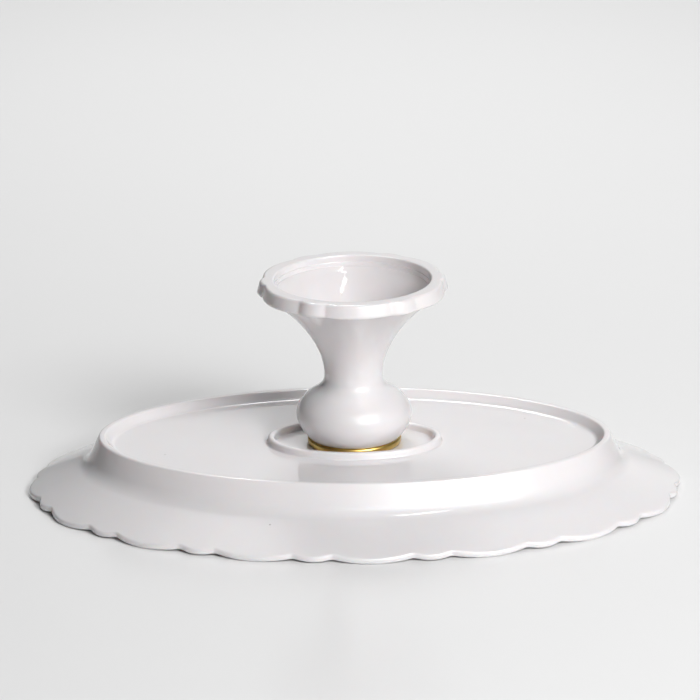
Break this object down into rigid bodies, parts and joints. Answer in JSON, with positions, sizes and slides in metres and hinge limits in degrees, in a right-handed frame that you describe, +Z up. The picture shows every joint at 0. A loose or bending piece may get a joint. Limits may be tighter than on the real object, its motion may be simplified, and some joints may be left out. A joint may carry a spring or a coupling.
{
  "type": "footed oval plate",
  "caption": "Oval glazed porcelain plate with a scalloped rim, lying face down, its trumpet foot clamped on with a brass collar, rod and nut.",
  "frame": {"origin": "below the plate's centre, in the plane that the scalloped rim rests on", "axes": "+Z up, out of the foot's mouth; X along the plate's long axis"},
  "size_m": [0.3492, 0.2346, 0.1178],
  "materials": {
    "porcelain": "white, glossy transparent glaze",
    "polished_brass": "polished and lacquered",
    "soft_seal": "matte, translucent grey-white",
    "plated_steel": "bright zinc plating"
  },
  "bodies": {
    "plate": {"plate": "porcelain", "face_gasket": "soft_seal", "rosette": "polished_brass", "cap_nut": "polished_brass", "tie_rod": "polished_brass", "plate_gasket": "soft_seal", "collar": "polished_brass"},
    "foot": {"foot": "porcelain", "foot_gasket": "soft_seal", "inner_gasket": "soft_seal"},
    "washer": {"clamp_washer": "plated_steel"},
    "nut": {"hex_nut": "plated_steel"}
  },
  "joints": [
    {"name": "foot_swivel", "type": "hinge", "parent": "plate", "child": "foot", "pos_m": [0, 0, 0.0305], "axis": [0, 0, 1], "continuous": true},
    {"name": "washer_lift", "type": "slide", "parent": "plate", "child": "washer", "axis": [0, 0, 1], "range_m": [0, 0.012]},
    {"name": "nut_turn", "type": "hinge", "parent": "washer", "child": "nut", "pos_m": [0, 0, 0.0396], "axis": [0, 0, 1], "range_deg": [0, 4320]}
  ],
  "couplings": [
    {"joint": "nut_turn", "follows": "washer_lift", "rad_per_m": 6283.2}
  ]
}
